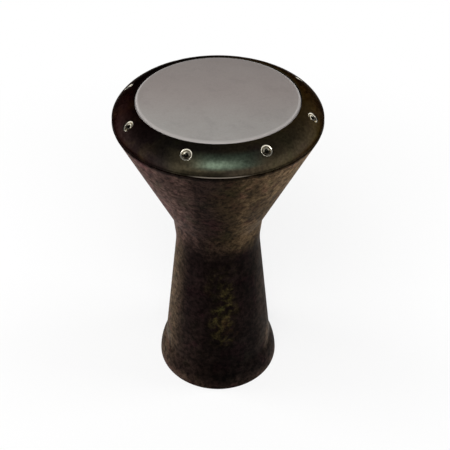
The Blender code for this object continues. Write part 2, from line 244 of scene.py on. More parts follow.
# Ring patina: levels of its noises and what they give
RING_WARM_WANDER = 0.08
RING_DARK_LEVELS = (0.54, 0.72)
RING_DARK_STRENGTH = 0.6
RING_DARK_SHADE = 0.45
RING_SPECKLE_SHADES = (0.70, 1.30)
RING_ROUGHNESS = (0.32, 0.44)

# Ring stains, olive and plum: noise scale, its two levels, strength and colour
RING_STAINS = (
    (23.0, 0.50, 0.70, 0.7, (0.055, 0.050, 0.026)),
    (27.0, 0.54, 0.72, 0.6, (0.034, 0.019, 0.021)),
)

# Film: cloudy colours, the bend's colour, tints and painted light of front and back, smudges, grain
FILM_COLOURS = ((0.268, 0.236, 0.218), (0.300, 0.270, 0.250))
FILM_BEND_COLOUR = (0.36, 0.335, 0.32)
FILM_BACK_TINT = (0.99, 0.96, 0.965)
FILM_FRONT_TINT = (1.01, 1.10, 1.11)
FILM_TINT_FADE = (-0.08, 0.02)
FILM_LIGHT_FADE = (-0.08, 0.10)
FILM_BEND_FADE = (-0.0004, 0.0010)
FILM_LIGHT = (1.06, 0.90)
SMUDGE_LEVELS = (0.48, 0.72)
SMUDGE_SHADE = 0.88
FILM_SPECKLE_SHADES = (0.96, 1.04)
FILM_ROUGHNESS = (0.40, 0.50)

# Plated metal: colour, stain, roughness and how much that varies
HOOP_FINISH = ((0.62, 0.62, 0.61), (0.50, 0.50, 0.48), 0.30, 0.12)
CUP_FINISH = ((0.86, 0.81, 0.68), (0.70, 0.64, 0.50), 0.20, 0.10)
WASHER_FINISH = ((0.50, 0.49, 0.46), (0.35, 0.33, 0.30), 0.28, 0.12)
BOLT_FINISH = ((0.84, 0.78, 0.62), (0.50, 0.46, 0.35), 0.22, 0.14)
BUSH_FINISH = ((0.34, 0.34, 0.33), (0.22, 0.21, 0.20), 0.40, 0.15)

# Stains of the plating, and the painted shade and grime on the bolts
PLATING_STAINS = (0.45, 0.75)
# Painted shade over each bolt's downhill half
DOWNHILL_SHADE_COLOUR = (0.075, 0.062, 0.043)
DOWNHILL_SHADE_FADE = (-0.0012, 0.0008)
# Painted shade with grime down in each socket
SOCKET_SHADE_AND_GRIME = (0.012, 0.011, 0.008)
SOCKET_REACH = 0.8

# Depth of each surface's grain, and the two values that noise mostly stays between
SHELL_GRAIN = 0.00012
RING_GRAIN = 0.00010
PLATING_GRAIN = 0.00001
FILM_GRAIN = 0.00003
NOISE_LOW = 0.3
NOISE_HIGH = 0.7

# Lamps: name, place, aim, width, height, share of light and whether reflections show it
LAMPS = (
    ("front_light", (0.0, -1.257, 1.631), (0, -0.12, 0.43), 0.90, 0.70, 0.38, True),
    ("left_light", (-1.33, 0.23, 0.34), (0, 0, 0.34), 0.70, 0.66, 1.20, False),
    ("right_light", (1.35, 0.02, 0.34), (0, 0, 0.34), 0.70, 0.66, 1.10, False),
    ("head_light", (-0.15, -0.40, 1.02), (0, 0, 0.44), 0.35, 0.35, 0.58, False),
)
AMBIENT = 0.17

# Backdrop: its tone for bounced light and as seen, how much of it is plain white near
# the drum, and the distances from the axis between which that grows to all of it
PAPER = 0.30
SEEN_PAPER = 0.95
WHITE_SHARE = 0.76
SHADOW_NEAR = 0.20
SHADOW_FAR = 0.95
FLOOR_RADIUS = 6.0
COVE_RADIUS = 2.0
WALL_TOP = 4.0


# Outlines in the (radius, height) plane


def arc(centre, radius, start_deg, end_deg, steps):
    """Points on a circle."""
    points = []
    for i in range(steps + 1):
        angle = math.radians(start_deg + (end_deg - start_deg) * i / steps)
        points.append((centre[0] + radius * math.cos(angle), centre[1] + radius * math.sin(angle)))
    return points


def filleted(before, corner, after, radius, steps):
    """The corner between two straight runs, rounded to the radius."""
    corner = Vector(corner)
    towards = (Vector(before) - corner).normalized()
    away = (Vector(after) - corner).normalized()
    half = towards.angle(away) / 2
    centre = corner + (towards + away).normalized() * radius / math.sin(half)
    first = corner + towards * radius / math.tan(half) - centre
    last = corner + away * radius / math.tan(half) - centre
    sweep = first.angle_signed(last)
    points = []
    for i in range(steps + 1):
        spoke = first.copy()
        spoke.rotate(Matrix.Rotation(-sweep * i / steps, 2))
        points.append(tuple(centre + spoke))
    return points


def rounded(corners, radius, steps=CORNER_STEPS):
    """A closed outline with each of its corners rounded to the radius."""
    points = []
    for i, corner in enumerate(corners):
        after = corners[(i + 1) % len(corners)]
        points += filleted(corners[i - 1], corner, after, radius, steps)
    return points


def inset(points, distance):
    """A chain of points that runs down, moved towards the axis with mitred corners."""
    moved = []
    for i, point in enumerate(points):
        here = Vector(point)
        runs = []
        if i > 0:
            runs.append((here - Vector(points[i - 1])).normalized())
        if i < len(points) - 1:
            runs.append((Vector(points[i + 1]) - here).normalized())
        normals = [Vector((run.y, -run.x)) for run in runs]
        middle = sum(normals, Vector((0, 0))).normalized()
        moved.append(tuple(here + middle * distance / middle.dot(normals[0])))
    return moved


def at_height(high, low, z):
    """The radius at height z on the straight line through two points."""
    share = (z - low[1]) / (high[1] - low[1])
    return low[0] + (high[0] - low[0]) * share


def shoulder(start, end_radius, fall, power, steps, from_deg=0.0):
    """A rounded corner that leaves start level and ends upright, spread evenly by angle."""
    points = []
    for i in range(steps + 1):
        angle = math.radians(from_deg + (90 - from_deg) * i / steps)
        radius = start[0] + (end_radius - start[0]) * math.sin(angle) ** (2 / power)
        points.append((radius, start[1] - fall * (1 - math.cos(angle) ** (2 / power))))
    return points


def neck_blend(first, second, neck_top, neck_low, steps):
    """The hollow curve from the neck's line into the foot, tangent to the foot's first run."""
    foot = Vector(first)
    slope = (Vector(first) - Vector(second)).normalized()
    line = Vector(neck_top) - Vector(neck_low)
    to_neck = Vector(neck_low) - foot
    run = to_neck.cross(line) / slope.cross(line)
    corner = foot + slope * run
    start = corner + line.normalized() * run
    points = []
    for i in range(steps + 1):
        t = i / steps
        points.append(tuple(start * (1 - t) ** 2 + corner * 2 * t * (1 - t) + foot * t**2))
    return points


# Meshes


def linked(name, mesh):
    obj = bpy.data.objects.new(name, mesh)
    bpy.context.scene.collection.objects.link(obj)
    return obj


def skin(name, rows, steps, closed):
    """A tube over rows of (radius, height) points, one point for each step round Z."""
    verts, index = [], []
    for row in rows:
        if row[0][0] < ON_AXIS:
            index.append([len(verts)] * steps)
            verts.append((0, 0, row[0][1]))
            continue
        index.append(range(len(verts), len(verts) + steps))
        for s, (radius, height) in enumerate(row):
            angle = math.tau * s / steps
            verts.append((radius * math.cos(angle), radius * math.sin(angle), height))
    pairs = list(zip(index[:-1], index[1:]))
    if closed:
        pairs.append((index[-1], index[0]))
    faces = []
    for upper, lower in pairs:
        for s in range(steps):
            t = (s + 1) % steps
            faces.append(list(dict.fromkeys([upper[s], lower[s], lower[t], upper[t]])))
    mesh = bpy.data.meshes.new(name)
    mesh.from_pydata(verts, [], faces)
    return linked(name, mesh)


def lathe(name, outline, steps, closed=True):
    """A body of revolution about Z from its outline, outer side first and downward."""
    return skin(name, [[point] * steps for point in outline], steps, closed)


def rods(radius, low, high, frames):
    """One cutter made of a cylinder along local Z in each frame."""
    shape = bmesh.new()
    for frame_at in frames:
        bmesh.ops.create_cone(
            shape,
            cap_ends=True,
            segments=SMALL_STEPS,
            radius1=radius,
            radius2=radius,
            depth=high - low,
            matrix=frame_at @ Matrix.Translation((0, 0, (high + low) / 2)),
        )
    mesh = bpy.data.meshes.new("cutter")
    shape.to_mesh(mesh)
    shape.free()
    return linked("cutter", mesh)


def combine(target, other, operation):
    """Applies a Boolean to the target's mesh and removes the other object."""
    step = target.modifiers.new("cut", "BOOLEAN")
    step.operation = operation
    step.solver = "EXACT"
    step.object = other
    graph = bpy.context.evaluated_depsgraph_get()
    mesh = bpy.data.meshes.new_from_object(target.evaluated_get(graph))
    target.modifiers.clear()
    target.data = mesh
    bpy.data.objects.remove(other, do_unlink=True)


def soften(obj):
    obj.data.shade_smooth()
    obj.data.set_sharp_from_angle(angle=math.radians(SHARP_DEG))


# Materials


class Look:
    """A Principled material, and the procedural values that feed its shader."""

    def __init__(self, name, roughness=0.5, metallic=0.0, specular=0.5):
        self.material = bpy.data.materials.new(name)
        self.material.use_nodes = True
        self.tree = self.material.node_tree
        self.shader = self.tree.nodes["Principled BSDF"]
        self.shader.inputs["Roughness"].default_value = roughness
        self.shader.inputs["Metallic"].default_value = metallic
        self.shader.inputs["Specular IOR Level"].default_value = specular
        self.where = self.tree.nodes.new("ShaderNodeTexCoord").outputs["Object"]
        self.seed = 0.0

    def put(self, value, socket):
        """Links a socket, or writes a number or colour."""
        if isinstance(value, bpy.types.NodeSocket):
            self.tree.links.new(value, socket)
        elif isinstance(value, tuple):
            socket.default_value = (*value, 1.0)
        else:
            socket.default_value = value

    def feed(self, name, value):
        self.put(value, self.shader.inputs[name])

    def axis(self, name):
        node = self.tree.nodes.new("ShaderNodeSeparateXYZ")
        self.tree.links.new(self.where, node.inputs[0])
        return node.outputs[name]

    def noise(self, scale, detail=4.0, rough=0.55, warp=0.0, stretch=(1.0, 1.0, 1.0)):
        """Noise between about 0.3 and 0.7; each call has its own seed."""
        self.seed += 3.7
        moved = self.tree.nodes.new("ShaderNodeVectorMath")
        moved.operation = "MULTIPLY"
        moved.inputs[1].default_value = stretch
        self.tree.links.new(self.where, moved.inputs[0])
        node = self.tree.nodes.new("ShaderNodeTexNoise")
        node.noise_dimensions = "4D"
        for key, value in (
            ("W", self.seed),
            ("Scale", scale),
            ("Detail", detail),
            ("Roughness", rough),
            ("Distortion", warp),
        ):
            node.inputs[key].default_value = value
        self.tree.links.new(moved.outputs[0], node.inputs["Vector"])
        return node.outputs["Fac"]

    def spread(self, value, low, high, to_low=0.0, to_high=1.0):
        """The value's stretch from low to high, smoothly mapped to another one."""
        node = self.tree.nodes.new("ShaderNodeMapRange")
        node.interpolation_type = "SMOOTHSTEP"
        node.inputs["From Min"].default_value = low
        node.inputs["From Max"].default_value = high
        node.inputs["To Min"].default_value = to_low
        node.inputs["To Max"].default_value = to_high
        self.tree.links.new(value, node.inputs["Value"])
        return node.outputs["Result"]

    def fall(self, value, low, high, to_high=0.0):
        """1 up to low, smoothly down to another value at high."""
        return self.spread(value, low, high, 1.0, to_high)

    def maths(self, operation, first, second=0.0):
        node = self.tree.nodes.new("ShaderNodeMath")
        node.operation = operation
        self.put(first, node.inputs[0])
        self.put(second, node.inputs[1])
        return node.outputs["Value"]

    def product(self, first, *others):
        for other in others:
            first = self.maths("MULTIPLY", first, other)
        return first

    def wandering(self, value, amount, **noise):
        """The value plus a noise times the amount, so that edges made from it wander."""
        return self.maths("ADD", value, self.maths("MULTIPLY", self.noise(**noise), amount))

    def uneven(self, low, high, **noise):
        """A noise that wanders between low and high."""
        return self.spread(self.noise(**noise), NOISE_LOW, NOISE_HIGH, low, high)

    def mixed(self, share, first, second):
        """Colour mix; first and second are colours or sockets."""
        node = self.tree.nodes.new("ShaderNodeMix")
        node.data_type = "RGBA"
        self.put(share, node.inputs["Factor"])
        for key, value in (("A", first), ("B", second)):
            self.put(value, next(s for s in node.inputs if s.name == key and s.type == "RGBA"))
        return next(s for s in node.outputs if s.type == "RGBA")

    def shaded(self, colour, factor):
        """A colour times a number."""
        node = self.tree.nodes.new("ShaderNodeVectorMath")
        node.operation = "SCALE"
        self.put(colour, node.inputs[0])
        self.put(factor, node.inputs["Scale"])
        return node.outputs[0]

    def tinted(self, colour, tint):
        """A colour times another one."""
        node = self.tree.nodes.new("ShaderNodeVectorMath")
        node.operation = "MULTIPLY"
        self.put(colour, node.inputs[0])
        node.inputs[1].default_value = tint
        return node.outputs[0]

    def bump(self, height, distance):
        node = self.tree.nodes.new("ShaderNodeBump")
        node.inputs["Distance"].default_value = distance
        self.tree.links.new(height, node.inputs["Height"])
        self.feed("Normal", node.outputs["Normal"])

    def off_axis(self):
        """Distance from the Z axis."""
        flat = self.tree.nodes.new("ShaderNodeVectorMath")
        flat.operation = "MULTIPLY"
        flat.inputs[1].default_value = (1.0, 1.0, 0.0)
        self.tree.links.new(self.where, flat.inputs[0])
        length = self.tree.nodes.new("ShaderNodeVectorMath")
        length.operation = "LENGTH"
        self.tree.links.new(flat.outputs[0], length.inputs[0])
        return length.outputs["Value"]

    def band(self, value, middle, half, soft):
        """1 where the value is within half of the middle, fading over the soft width."""
        away = self.maths("ABSOLUTE", self.maths("SUBTRACT", value, middle))
        return self.fall(away, half, half + soft)


def shell_patina():
    """Brown patina on the cone, near black on the neck, with light, plum, green and dark stains."""
    # Besides its patina it paints light and a highlight on the flanks, and shade down the front,
    # under the ring and in the seam
    look = Look("shell_patina_look", specular=0.01)
    height = look.axis("Z")
    side = look.axis("X")
    facing = look.fall(look.axis("Y"), *FRONT_FADE)
    turn = look.maths("ABSOLUTE", look.maths("DIVIDE", side, look.off_axis()))
    flank = look.spread(turn, *FLANK_TURN)
    zone = look.wandering(height, ZONE_WANDER, scale=60.0, detail=6.0, rough=0.68)
    warm = look.spread(look.wandering(side, WARM_WANDER, scale=16.0), *WARM_FADE)

    neck = look.mixed(warm, *NECK_COLOURS)
    colour = look.mixed(look.fall(zone, *FOOT_FADE), neck, look.mixed(warm, *FOOT_COLOURS))
    colour = look.mixed(look.spread(zone, *BLACK_FADE), colour, look.shaded(colour, BLACK_SHADE))
    # Painted side light on the left and right flanks, weaker near the floor
    side_light = look.product(flank, flank, look.spread(height, *SIDE_LIGHT_FADE, SIDE_LIGHT_LEAST, 1.0))
    colour = look.mixed(side_light, colour, look.mixed(warm, *FLANK_LIGHT_COLOURS))
    # Painted highlight on the foot's shoulder at the left and right flanks, broken up by noise
    shoulder_height = look.wandering(height, SHOULDER_WANDER, scale=26.0)
    highlight = look.product(
        look.spread(turn, *SHOULDER_TURN),
        look.band(shoulder_height, *SHOULDER_BAND),
        look.spread(look.noise(scale=70.0, detail=5.0, rough=0.65), *SHOULDER_LEVELS),
    )
    colour = look.mixed(highlight, colour, SHOULDER_HIGHLIGHT)
    colour = look.mixed(look.fall(zone, *RIM_FADE), colour, look.mixed(warm, *RIM_COLOURS))
    colour = look.mixed(look.spread(zone, *CONE_FADE), colour, look.mixed(warm, *CONE_COLOURS))

    # Painted shade down the front of the cone, joined with dark streak stains all round
    front_shade = look.product(look.band(side, *FRONT_SHADE_BAND), facing, look.spread(height, *FRONT_SHADE_FADE))
    streaks = look.noise(scale=15.0, detail=3.0, rough=0.5, stretch=(1.0, 1.0, 0.2))
    streaks = look.spread(streaks, *STREAK_LEVELS, 0.0, STREAK_STRENGTH)
    front_shade_and_streaks = look.maths("MAXIMUM", front_shade, streaks)
    colour = look.mixed(front_shade_and_streaks, colour, look.shaded(colour, COLUMN_SHADE))
    olive = look.product(
        look.spread(look.noise(scale=95.0, detail=6.0, rough=0.72, warp=0.3), *OLIVE_LEVELS),
        look.band(look.wandering(side, OLIVE_WANDER, scale=28.0, detail=3.0), *OLIVE_BAND),
        facing,
        look.spread(height, *OLIVE_LOW),
        look.fall(height, *OLIVE_HIGH),
    )
    colour = look.mixed(olive, colour, OLIVE_COLOUR)
    for scale, rough, warp, low, high, strength, tint in SHELL_STAINS:
        patches = look.noise(scale=scale, detail=5.0, rough=rough, warp=warp)
        stain = look.spread(patches, low, high, 0.0, strength)
        colour = look.mixed(stain, colour, look.tinted(colour, tint))

    lines = look.uneven(*TURNED_SHADES, scale=24.0, detail=3.0, rough=0.60, stretch=(0.5, 0.5, 22.0))
    colour = look.shaded(colour, lines)
    mottle = look.noise(scale=150.0, detail=5.0, rough=0.70)
    colour = look.shaded(colour, look.spread(mottle, *MOTTLE_LEVELS, *MOTTLE_SHADES))
    speckle = look.uneven(*SPECKLE_SHADES, scale=430.0, detail=3.0, rough=0.6)
    colour = look.shaded(colour, speckle)
    # Painted shade on the cone's top under the ring, darker still in the seam
    under_ring = look.wandering(height, UNDER_RING_WANDER, scale=80.0)
    low, high = (SEAM - drop for drop in UNDER_RING)
    colour = look.shaded(colour, look.fall(under_ring, low, high, UNDER_RING_SHADE))
    low, high = (SEAM - drop for drop in SEAM_LINE)
    colour = look.shaded(colour, look.fall(height, low, high, SEAM_LINE_SHADE))
    look.feed("Base Color", colour)
    look.feed("Roughness", look.uneven(*SHELL_ROUGHNESS, scale=55.0))
    look.bump(look.noise(scale=260.0, detail=5.0, rough=0.6), SHELL_GRAIN)
    return look.material


def ring_patina():
    """Near-black metal under satin lacquer, with olive and plum stains and a green sheen."""
    # Besides its patina it paints dark reflection round the mouth, a highlight on the mouth bead and
    # light on the far left edge
    look = Look("ring_patina_look", metallic=1.0)
    look.feed("Specular Tint", RING_EDGE_TINT)
    side = look.axis("X")
    height = look.axis("Z")
    facing = look.fall(look.axis("Y"), *RING_FRONT_FADE)
    below_crown = look.fall(height, *(RING_TOP - drop for drop in CROWN_DROP))
    above_skirt = look.spread(height, *(RING_TOP - drop for drop in SKIRT_DROP))
    warm = look.spread(look.wandering(side, RING_WARM_WANDER, scale=14.0), *RING_WARM_FADE)
    colour = look.mixed(warm, *RING_COLOURS)
    for scale, low, high, strength, stain in RING_STAINS:
        patches = look.noise(scale=scale, detail=5.0, rough=0.6, warp=0.5)
        colour = look.mixed(look.spread(patches, low, high, 0.0, strength), colour, stain)
    amber = look.product(look.band(side, *AMBER_BAND), facing, below_crown)
    colour = look.mixed(amber, colour, RING_AMBER)
    green = look.product(look.band(side, *GREEN_BAND), facing, below_crown, above_skirt)
    colour = look.mixed(green, colour, RING_GREEN)
    dark = look.noise(scale=48.0, detail=5.0, rough=0.6, warp=0.5)
    dark = look.spread(dark, *RING_DARK_LEVELS, 0.0, RING_DARK_STRENGTH)
    colour = look.mixed(dark, colour, look.shaded(colour, RING_DARK_SHADE))

    # Painted dark reflection: darker towards the mouth all round, and a darker band above it at the
    # front
    mouth = look.spread(height, RING_MOUTH, RING_MOUTH + 2 * MOUTH_BEAD, MOUTH_SHADE, 1.0)
    colour = look.shaded(colour, mouth)
    low = look.fall(height, *(RING_MOUTH + beads * MOUTH_BEAD for beads in LOW_BEADS))
    low = look.product(low, look.band(side, *LOW_BAND), facing)
    colour = look.mixed(low, colour, look.shaded(colour, LOW_SHADE))
    left = look.fall(side, *LEFT_FADE)
    colour = look.mixed(left, colour, look.tinted(colour, RING_LEFT_TINT))
    # Painted light along the ring's far left edge
    colour = look.shaded(colour, look.spread(side, *FAR_LEFT_FADE, FAR_LEFT_LIGHT, 1.0))
    speckle = look.uneven(*RING_SPECKLE_SHADES, scale=300.0, rough=0.65)
    colour = look.shaded(colour, speckle)
    # Painted highlight along the front of the mouth bead
    highlight = look.product(
        look.band(height, RING_MOUTH + MOUTH_BEAD / 2, *BEAD_HIGHLIGHT_LINE),
        look.band(side, *BEAD_HIGHLIGHT_BAND),
        facing,
    )
    look.feed("Base Color", look.mixed(highlight, colour, BEAD_HIGHLIGHT))
    look.feed("Roughness", look.uneven(*RING_ROUGHNESS, scale=55.0))
    look.bump(look.noise(scale=260.0, detail=5.0, rough=0.6), RING_GRAIN)
    return look.material


def plated(name, colour, stain, roughness, wear, shade_and_grime=None):
    """Metal with faint stains, a fine grain and slightly uneven gloss."""
    look = Look(name, metallic=1.0)
    stains = look.spread(look.noise(scale=350.0, detail=5.0, rough=0.6), *PLATING_STAINS)
    colour = look.mixed(stains, colour, stain)
    # Painted shade and grime, given for the bolts
    if shade_and_grime:
        colour = shade_and_grime(look, colour)
    look.feed("Base Color", colour)
    look.feed("Roughness", look.uneven(roughness, roughness + wear, scale=900.0, detail=3.0))
    look.bump(look.noise(scale=1500.0, detail=3.0), PLATING_GRAIN)
    return look.material


def bolt_shade_and_grime(look, colour):
    """Painted shade over the half of a bolt that lies downhill at rest, and painted shade with grime
    in its socket.
    """
    # Painted shade over the downhill half
    colour = look.mixed(look.spread(look.axis("X"), *DOWNHILL_SHADE_FADE), colour, DOWNHILL_SHADE_COLOUR)
    # Painted shade with grime down in the socket
    socket = look.fall(look.off_axis(), SOCKET_FLATS / 2, SOCKET_REACH * BOLT_HEAD_RADIUS)
    return look.mixed(socket, colour, SOCKET_SHADE_AND_GRIME)


def film_look():
    """Matt polyester film, faintly cloudy and smudged, paler round its bend."""
    look = Look("head_film")
    forward = look.axis("Y")
    clouds = look.uneven(0.0, 1.0, scale=9.0, rough=0.6)
    colour = look.mixed(clouds, *FILM_COLOURS)
    smudge = look.noise(scale=38.0, detail=5.0, rough=0.65, warp=0.5)
    smudge = look.fall(smudge, *SMUDGE_LEVELS, SMUDGE_SHADE)
    colour = look.tinted(look.shaded(colour, smudge), FILM_BACK_TINT)
    front = look.fall(forward, *FILM_TINT_FADE)
    colour = look.mixed(front, colour, look.tinted(colour, FILM_FRONT_TINT))
    # Painted light: the film's front lighter, its back darker
    colour = look.shaded(colour, look.spread(forward, *FILM_LIGHT_FADE, *FILM_LIGHT))
    speckle = look.uneven(*FILM_SPECKLE_SHADES, scale=520.0, detail=3.0, rough=0.6)
    colour = look.shaded(colour, speckle)
    flat_end = HEAD_RADIUS - COLLAR_RADIUS
    bend = look.spread(look.off_axis(), *(flat_end + step for step in FILM_BEND_FADE))
    look.feed("Base Color", look.mixed(bend, colour, FILM_BEND_COLOUR))
    grain = look.noise(scale=700.0)
    look.feed("Roughness", look.spread(grain, NOISE_LOW, NOISE_HIGH, *FILM_ROUGHNESS))
    look.bump(grain, FILM_GRAIN)
    return look.material


# Sizes read from the frame

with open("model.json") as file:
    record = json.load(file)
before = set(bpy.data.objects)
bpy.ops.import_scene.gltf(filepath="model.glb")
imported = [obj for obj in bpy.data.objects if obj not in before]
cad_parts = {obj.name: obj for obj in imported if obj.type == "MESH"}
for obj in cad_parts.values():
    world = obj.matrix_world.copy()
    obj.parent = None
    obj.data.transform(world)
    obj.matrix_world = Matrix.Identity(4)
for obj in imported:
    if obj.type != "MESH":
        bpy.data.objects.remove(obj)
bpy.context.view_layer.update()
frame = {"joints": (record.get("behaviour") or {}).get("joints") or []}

HEAD_LOW, HEAD_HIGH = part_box("drumhead")
RING_LOW, RING_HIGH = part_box("tuning_ring")
HOOP_LOW, HOOP_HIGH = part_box("head_hoop")
HEIGHT = HEAD_HIGH.z
HEAD_RADIUS = HEAD_HIGH.x
RING_TOP = RING_HIGH.z
RING_MOUTH = RING_LOW.z
MOUTH_RADIUS = RING_HIGH.x
CONE_TOP_RADIUS = MOUTH_RADIUS - CONE_INSET
SEAM = RING_MOUTH - SEAM_GAP
CHANNEL_IN = HEAD_RADIUS - FILM_THICKNESS - HOOP_FIT
CHANNEL_OUT = HEAD_RADIUS + HOOP_FIT
HOOP_IN = CHANNEL_IN - HOOP_INNER_WALL
HOOP_OUT = HOOP_HIGH.x
EDGE_OUT = HOOP_IN - HOOP_FIT
EDGE_IN = EDGE_OUT - EDGE_WALL
LIP_IN = HEAD_RADIUS + RING_GAP
CROWN_START = LIP_IN + RING_FLAT
CROWN_RADIUS = CROWN_START + CROWN_REACH
FLAT_WASHER_FOOT = FIT + CUP_FLOOR + FIT
HEAD_FOOT = FLAT_WASHER_FOOT + FLAT_WASHER_THICKNESS + FIT
SEAT_DEPTH = CUP_HEIGHT + FIT + CUP_SINK
CUP_SEAT_RADIUS = CUP_RADIUS + FIT

BOLTS = [j for j in frame["joints"] if j["name"].endswith("_turn")]
TILT = math.acos(BOLTS[0]["axis"][2])
PASSAGE_RADIUS = BOLT_RADIUS + max(TRAVEL_UP, TRAVEL_DOWN) * math.sin(TILT) + FIT


def bolt_frame(joint):
    """Origin on the floor of the cup's seat, local Z outward along the bolt."""
    axis = Vector(joint["axis"]).normalized()
    side = Vector((0, 0, 1)).cross(axis).normalized()
    across = side.cross(axis)
    turned = Matrix((across, side, axis)).transposed().to_4x4()
    return Matrix.Translation(Vector(joint["pos_m"])) @ turned


FRAMES = [bolt_frame(j) for j in BOLTS]


def boss_top():
    """Local height of the shell boss's upper face."""
    seat = FRAMES[0].translation.z
    rise = (INSERT_RADIUS + FIT + BOSS_WALL) * math.sin(TILT)
    face = HOOP_LOW.z - TRAVEL_DOWN - BOSS_CLEARANCE - rise
    return (face - seat) / math.cos(TILT)


def crown_height(radius):
    """Height of the ring's outer surface over its crown."""
    share = (radius - CROWN_START) / CROWN_REACH
    return RING_TOP - CROWN_FALL * (1 - (1 - share**CROWN_POWER) ** (1 / CROWN_POWER))


# Pieces


def shell_outside():
    """From the seam flange's edge down the cone, waist and neck to the floor."""
    cone_top = (CONE_TOP_RADIUS, SEAM)
    outline = filleted((EDGE_OUT, SEAM), cone_top, WAIST_TOP, SEAM_EDGE, CORNER_STEPS)
    outline += filleted(cone_top, WAIST_TOP, WAIST_LOW, WAIST_TOP_FILLET, BEND_STEPS)
    outline += filleted(WAIST_TOP, WAIST_LOW, FOOT_START, WAIST_LOW_FILLET, BEND_STEPS)
    bulge = FOOT_START[1] - FOOT_EDGE
    foot = shoulder(FOOT_START, FOOT_RADIUS, bulge, FOOT_POWER, CROWN_STEPS, FOOT_BLEND_DEG)
    outline += neck_blend(foot[0], foot[1], WAIST_LOW, FOOT_START, BEND_STEPS)[:-1]
    return outline + foot + [(FOOT_RADIUS - FOOT_EDGE, 0)]


def shell_inside(deck_low):
    """From the foot's inner edge up to the underside of the deck."""
    floor = (at_height(WAIST_LOW, FOOT_START, 0), 0)
    chain = [(CONE_TOP_RADIUS, SEAM), WAIST_TOP, WAIST_LOW, floor]
    top, high, low, base = inset(chain, SHELL_WALL)
    base = (at_height(low, base, 0), 0)
    under = (at_height(top, high, deck_low), deck_low)
    outline = [(base[0] + FOOT_EDGE, 0), (at_height(low, base, FOOT_EDGE), FOOT_EDGE)]
    outline += filleted(base, low, high, WAIST_LOW_FILLET + SHELL_WALL, BEND_STEPS)
    outline += filleted(low, high, top, WAIST_TOP_FILLET + SHELL_WALL, BEND_STEPS)
    outline += filleted(high, under, (EDGE_IN, deck_low), CASTING_CHAMFER, CORNER_STEPS)
    return outline + [(EDGE_IN, deck_low)]


def make_shell():
    edge_top = HEIGHT - FILM_THICKNESS - FIT
    bead = COLLAR_RADIUS - FILM_THICKNESS - FIT
    bead_centre = (HEAD_RADIUS - COLLAR_RADIUS, HEIGHT - COLLAR_RADIUS)
    bead_foot = bead_centre[1] - bead * math.sin(math.radians(BEAD_WRAP_DEG))
    deck_top = SEAM - DECK_SINK
    spigot_top = SEAM + SPIGOT_RISE
    spigot_out = MOUTH_RADIUS - RING_WALL - 2 * FIT
    spigot_in = spigot_out - SPIGOT_WIDTH

    outline = arc(bead_centre, bead, 90, -BEAD_WRAP_DEG, BEND_STEPS)
    outline.append((EDGE_OUT, bead_foot - FIT))
    wall_foot = (EDGE_OUT, deck_top)
    deck_end = (spigot_in, deck_top)
    outline += filleted((EDGE_OUT, bead_foot), wall_foot, deck_end, CASTING_FILLET, CORNER_STEPS)
    outline.append((spigot_in - SPIGOT_SHOULDER, deck_top))
    outline.append((spigot_in, spigot_top))
    outline.append((spigot_out - FIT, spigot_top))
    outline.append((spigot_out, spigot_top - SPIGOT_SHOULDER))
    outline.append((spigot_out, SEAM))
    outline += shell_outside()
    outline += shell_inside(deck_top - DECK_THICKNESS)
    outline.append((EDGE_IN, edge_top - EDGE_CHAMFER))
    outline.append((min(EDGE_IN + EDGE_CHAMFER, bead_centre[0] - FIT), edge_top))
    shell = lathe("cast_shell", outline, TURN_STEPS)
    top = boss_top()
    low = top - INSERT_LENGTH
    hole = INSERT_RADIUS + FIT
    combine(shell, rods(hole + BOSS_WALL, low, top, FRAMES), "UNION")
    combine(shell, rods(hole, low - 2 * hole, top + hole, FRAMES), "DIFFERENCE")
    soften(shell)
    return shell


def make_ring():
    under = HOOP_HIGH.z + FIT
    crown_top = (CROWN_START, RING_TOP)
    outline = [(LIP_IN + RING_LIP_EDGE, RING_TOP)]
    outline += shoulder(crown_top, CROWN_RADIUS, CROWN_FALL, CROWN_POWER, CROWN_STEPS)
    bead = MOUTH_BEAD / 2
    outline.append((CROWN_RADIUS, RING_MOUTH + MOUTH_BEAD + FIT))
    outline += arc((MOUTH_RADIUS - bead, RING_MOUTH + bead), bead, 90, -90, BEND_STEPS)
    outline.append((MOUTH_RADIUS - RING_WALL, RING_MOUTH))
    lip_end = LIP_IN + RING_LIP_WIDTH
    ceiling = (lip_end, crown_height(lip_end) - RING_WALL)
    over_spigot = SEAM + SPIGOT_RISE + TRAVEL_DOWN + FIT
    mouth_in = MOUTH_RADIUS - RING_WALL
    inner = shoulder(ceiling, mouth_in, ceiling[1] - over_spigot, CROWN_POWER, CROWN_STEPS)
    outline += inner[::-1]
    outline.append((lip_end, under))
    outline.append((LIP_IN, under))
    lip_centre = (LIP_IN + RING_LIP_EDGE, RING_TOP - RING_LIP_EDGE)
    outline += arc(lip_centre, RING_LIP_EDGE, 180, 90, CORNER_STEPS)[:-1]
    ring = lathe("collar_ring", outline, TURN_STEPS)
    pad_top = SEAT_DEPTH - RING_WALL + FIT
    combine(ring, rods(CUP_SEAT_RADIUS + SEAT_WALL, -SEAT_FLOOR, pad_top, FRAMES), "UNION")
    combine(ring, rods(CUP_SEAT_RADIUS, 0, 2 * SEAT_DEPTH, FRAMES), "DIFFERENCE")
    combine(ring, rods(PASSAGE_RADIUS, -2 * SEAT_FLOOR, FIT, FRAMES), "DIFFERENCE")
    soften(ring)
    return ring


